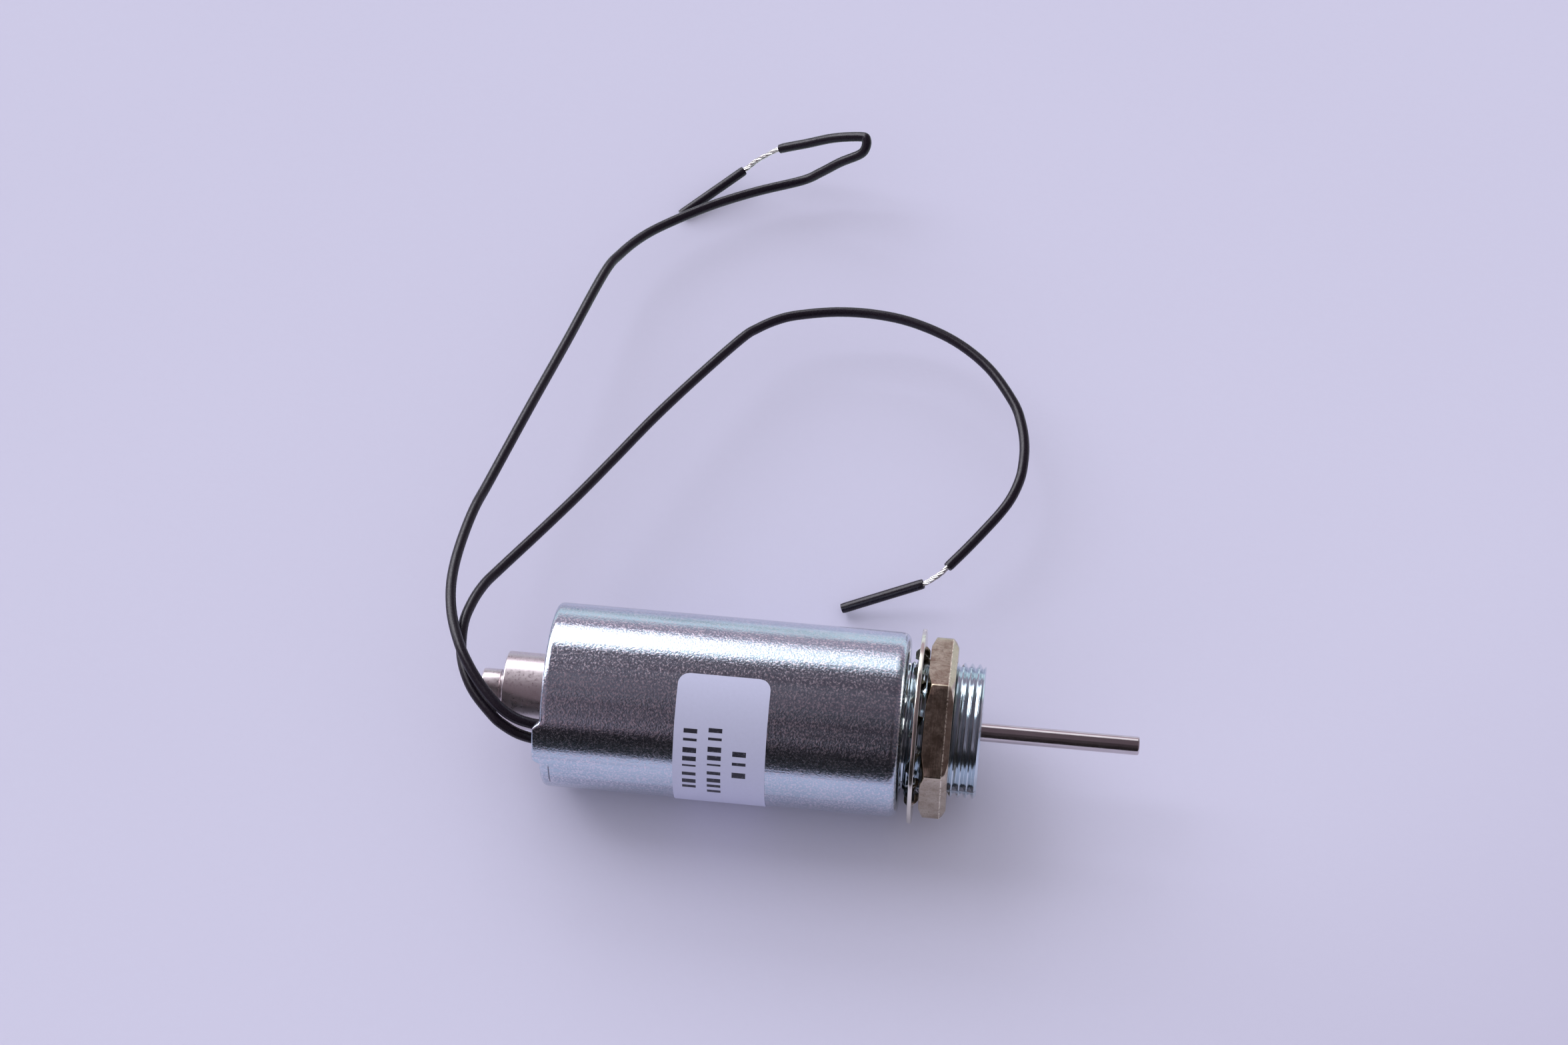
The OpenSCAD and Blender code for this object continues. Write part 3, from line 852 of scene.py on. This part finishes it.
def label_shape():
    """A sheet bent round the can, with rounded corners."""
    along = np.concatenate(
        [
            np.linspace(0, LABEL_CORNER_R, 17),
            np.linspace(LABEL_CORNER_R, LABEL_LENGTH - LABEL_CORNER_R, 120)[1:-1],
            np.linspace(LABEL_LENGTH - LABEL_CORNER_R, LABEL_LENGTH, 17),
        ]
    )
    near_end = np.clip(LABEL_CORNER_R - np.minimum(along, LABEL_LENGTH - along), 0, LABEL_CORNER_R)
    half_width = LABEL_WIDTH / 2 - LABEL_CORNER_R + np.sqrt(LABEL_CORNER_R**2 - near_end**2)
    angles = LABEL_TOP - np.degrees(along / CAN_R)
    across = np.linspace(-1, 1, 33)
    low, high = CAN_R + 0.004, CAN_R + LABEL_T
    section = [(c, low) for c in across] + [(c, high) for c in across[::-1]]
    share = np.array([c for c, _ in section])
    radius = np.array([r for _, r in section])
    x = LABEL_X + share[None, :] * half_width[:, None]
    points = around(x, radius[None, :], angles[:, None])
    count = len(section)
    faces = grid_faces(len(along), count, False, True).tolist()
    for first in (0, (len(along) - 1) * count):
        half = len(across)
        for j in range(half - 1):
            faces.append([first + j, first + j + 1, first + count - 2 - j, first + count - 1 - j])
    return points.reshape(-1, 3), faces


def strands_shape(path):
    """Tinned strands twisted round a path, the last of them straight along it."""
    first, second = frames_along(path)
    along = distance_along(path)
    shapes = []
    outer_count = STRAND_COUNT - 1
    for k in range(STRAND_COUNT):
        lay = 2 * math.pi * along / STRAND_LAY + k * 2 * math.pi / outer_count
        spread = 0.0 if k == outer_count else 2.05 * STRAND_R
        offset = (spread * (1 + STRAND_KINK * np.sin(along * 1.3 + k * 2.1)))[:, None]
        outward = np.cos(lay)[:, None] * first + np.sin(lay)[:, None] * second
        shapes.append(wire(path + offset * outward, STRAND_R))
    return join(shapes)


def add_lead(letter, finishes):
    """One lead: its jacket, its bared strands, and the offcut of jacket left on them."""
    name = f"lead_{letter}"
    path = smooth_path(course_points(letter), LEAD_STEPS)
    stretch = LEAD_PARTS * LEAD_STEPS
    cut_at = len(path) - 1 - 2 * stretch
    bare_end = cut_at + stretch
    inside_jacket = 4 * LEAD_STEPS
    offcut = path[bare_end] + np.linspace(0, 1, 30)[:, None] * (path[-1] - path[bare_end])
    sleeves = [("insulation", "jacket", path[: cut_at + 1]), ("offcut", "slug", offcut)]
    for kind, node, line in sleeves:
        *shape, placed = tube(line, LEAD_BORE_R, LEAD_R)
        make_piece(
            f"{name}_{kind}", "housing", f"{name}_{node}", shape, "black_pvc", finishes, placed=placed
        )
    core = np.vstack([path[cut_at - inside_jacket : bare_end], offcut[1:-2]])
    make_piece(
        f"{name}_strands", "housing", f"{name}_conductor", strands_shape(core), "tinned_wire", finishes
    )


def add_pieces(finishes):
    make_piece("can_shell", "housing", "can", can_shape(), "zinc_bright", finishes)
    make_piece("nose", "housing", "pole_bush", nose_shape(), "zinc_turned", finishes, sharp=50.0)
    make_piece("jam_nut", "nut", "hex_nut", nut_shape(), "nickel_warm", finishes)
    make_piece("toothed_washer", "washer", "lock_washer", washer_shape(), "nickel_bright", finishes)
    make_piece("plunger_bar", "plunger", "plunger", plunger_shape(), "nickel_satin", finishes)
    make_piece("rod_bar", "plunger", "push_rod", rod_shape(), "rod_steel", finishes)
    make_piece("label_sheet", "housing", "label", label_shape(), "label_paper", finishes)
    for letter in LEAD_COURSES:
        add_lead(letter, finishes)


def dress_cad(nodes, record, finishes):
    """Gives every CAD node that is still shown the finish of its slot in the record."""
    for row in record["subparts"]:
        shown = nodes[row["node"]]
        if shown.hide_render:
            continue
        shown.data.materials.clear()
        shown.data.materials.append(finishes[row["material_slot"]])


# ---- studio ----

# The table's height at one place along X, and its slope down towards the rod in degrees
FLOOR_LOW, FLOOR_X, FLOOR_TILT = -13.3, -20.0, 0.76
FLOOR_HALF = 3000.0
TABLE_EDGE_Y = -95.0
FAR_TABLE_Y = 70.0


def add_floor():
    """A pale table top, darker towards +X and -Y with painted shade. In reflections it is dark past its near
    edge and bright far behind.
    """
    slope = -math.tan(math.radians(FLOOR_TILT))
    corners = [(a * FLOOR_HALF, b * FLOOR_HALF) for a, b in ((-1, -1), (1, -1), (1, 1), (-1, 1))]
    points = [(x * MM, y * MM, (FLOOR_LOW + slope * (x - FLOOR_X)) * MM) for x, y in corners]
    mesh = bpy.data.meshes.new("table_top")
    mesh.from_pydata(points, [], [(0, 1, 2, 3)])
    material, tree, inputs = new_finish("table_paper")
    place = tree.own_place()
    fibre = tree.noise(place, 900.0, 4.0, 0.6)
    cloud = tree.noise(place, 14.0, 2.0, 0.5)
    paper = tree.mix(cloud, colour(0.61, 0.597, 0.752), colour(0.631, 0.618, 0.774))
    paper = tree.mix(tree.math("MULTIPLY", fibre, 0.25), paper, colour(0.576, 0.56, 0.713))
    x, y, z = tree.parts(place)
    # Painted shade: the table's colour darkens smoothly towards +X and -Y, standing in for a soft shadow over
    # that corner.
    away = tree.ramp_value(tree.math("SUBTRACT", x, y), 0.03, 0.16, 0.0, 0.5, smooth=True)
    paper = tree.mix(away, paper, colour(0.483, 0.4625, 0.609))
    behind = tree.math("LESS_THAN", y, TABLE_EDGE_Y * MM)
    glossy = tree.node("ShaderNodeLightPath").outputs["Is Glossy Ray"]
    dark = tree.math("MULTIPLY", behind, glossy)
    beyond = tree.math("MULTIPLY", tree.math("GREATER_THAN", y, FAR_TABLE_Y * MM), glossy)
    paper = tree.mix(beyond, paper, colour(0.86, 0.96, 1.0))
    tree.feed(inputs["Base Color"], tree.mix(dark, paper, colour(0.012, 0.011, 0.013)))
    tree.feed(inputs["Roughness"], 0.85)
    tree.feed(inputs["Specular IOR Level"], 0.1)
    tree.feed(inputs["Normal"], tree.bump(fibre, 0.00002))
    mesh.materials.append(material)
    floor = bpy.data.objects.new("table_top", mesh)
    bpy.context.scene.collection.objects.link(floor)


WINDOW_LIGHT = 7.0
WALL_LIGHT = 1.2
CEILING_LIGHT = 0.26
SIDE_LIGHT = 0.05
SILL_LIGHT = 0.42
DARK_LIGHT = 0.0135
# Only reflections see the room as it is; the rest of the light is this share of it, and an even fill
DIRECT_SHARE = 0.42
FILL_TINT = colour(1.02, 1.03, 1.06)
ROOM_TINT = colour(1.12, 0.86, 1.06)
WINDOW_TINT = colour(0.96, 0.96, 1.04)
BACKDROP = colour(0.61, 0.585, 0.77)


def add_room():
    """A window behind the part, a dim ceiling, and a dark side behind the camera."""
    world = bpy.data.worlds.new("room")
    bpy.context.scene.world = world
    world.use_nodes = True
    tree = Tree(world.node_tree)
    background = world.node_tree.nodes["Background"].inputs
    direction = tree.node("ShaderNodeTexCoord").outputs["Generated"]
    x, y, z = tree.parts(direction)
    over = tree.angle_round(y, z)
    to_front = tree.ramp_value(x, -0.175, -0.085)
    to_right = tree.ramp_value(x, 0.15, 0.5, smooth=True)
    low_level = tree.ramp_value(to_front, 0.0, 1.0, 1.4 * CEILING_LIGHT, 0.06 * CEILING_LIGHT)
    high_level = tree.ramp_value(to_front, 0.0, 1.0, CEILING_LIGHT, 0.15 * CEILING_LIGHT)
    top_level = tree.ramp_value(to_front, 0.0, 1.0, 0.85 * CEILING_LIGHT, 0.4 * CEILING_LIGHT)
    side_level = tree.math("MULTIPLY", to_right, SIDE_LIGHT)
    bands = [
        (-20.0, 22.0, 0.8, DARK_LIGHT),
        (22.0, 37.5, 1.5, low_level),
        (37.5, 69.0, 3.0, high_level),
        (69.0, 132.0, 4.0, top_level),
        (158.0, 185.0, 2.0, SILL_LIGHT),
        (10.0, 129.0, 8.0, side_level),
    ]
    level = 0.0
    for low, high, edge, light in bands:
        level = tree.math("ADD", level, tree.math("MULTIPLY", tree.band(over, low, high, edge), light))
    not_right = tree.ramp_value(x, 0.05, 0.35, 1.0, 0.2, smooth=True)
    low_pane = tree.math("MULTIPLY", tree.band(over, 132.0, 158.0, 2.5), not_right)
    pane_light = tree.ramp_value(to_front, 0.0, 1.0, WINDOW_LIGHT, WALL_LIGHT)
    low_pane = tree.math("MULTIPLY", low_pane, pane_light)
    far_left = tree.band(x, -0.84, -0.34, 0.06)
    high_pane = tree.math("MULTIPLY", tree.band(over, 98.0, 129.0, 3.0), far_left)
    window = tree.math("ADD", low_pane, tree.math("MULTIPLY", high_pane, WINDOW_LIGHT))
    room_tint = tree.mix(1.0, ROOM_TINT, level, "MULTIPLY")
    window_tint = tree.mix(1.0, WINDOW_TINT, window, "MULTIPLY")
    lit = tree.mix(1.0, room_tint, window_tint, "ADD")
    rays = tree.node("ShaderNodeLightPath").outputs
    soft = tree.mix(1.0 - DIRECT_SHARE, lit, FILL_TINT)
    lit = tree.mix(rays["Is Glossy Ray"], soft, lit)
    tree.feed(background["Color"], tree.mix(rays["Is Camera Ray"], lit, BACKDROP))
    background["Strength"].default_value = 1.0


# The camera stands 60 degrees up on the -Y side and looks a little from the rod's side
CAMERA_AT = (13.457, -225.16, 440.228)
CAMERA_HEIGHT, CAMERA_TURN, CAMERA_ROLL = 59.794, 3.805, 4.925
LENS, SENSOR = 50.0, 22.3


def add_camera():
    height, turn, roll = map(math.radians, (CAMERA_HEIGHT, CAMERA_TURN, CAMERA_ROLL))
    x_axis = Vector((1, 0, 0))
    up_front = Vector((0, -math.cos(height), math.sin(height)))
    back = (up_front * math.cos(turn) + x_axis * math.sin(turn)).normalized()
    level_right = (x_axis - back * back.x).normalized()
    level_up = back.cross(level_right)
    right = level_right * math.cos(roll) + level_up * math.sin(roll)
    up = level_up * math.cos(roll) - level_right * math.sin(roll)
    data = bpy.data.cameras.new("main_camera")
    data.lens, data.sensor_width = LENS, SENSOR
    data.clip_start, data.clip_end = 0.02, 20.0
    camera = bpy.data.objects.new("main_camera", data)
    place = Matrix((right, up, back)).transposed().to_4x4()
    place.translation = Vector(CAMERA_AT) * MM
    camera.matrix_world = place
    bpy.context.scene.collection.objects.link(camera)
    bpy.context.scene.camera = camera


finishes = all_finishes()
add_pieces(finishes)
dress_cad(frame["nodes"], frame["record"], finishes)
add_floor()
add_room()
add_camera()
bpy.context.scene.view_settings.view_transform = "Standard"
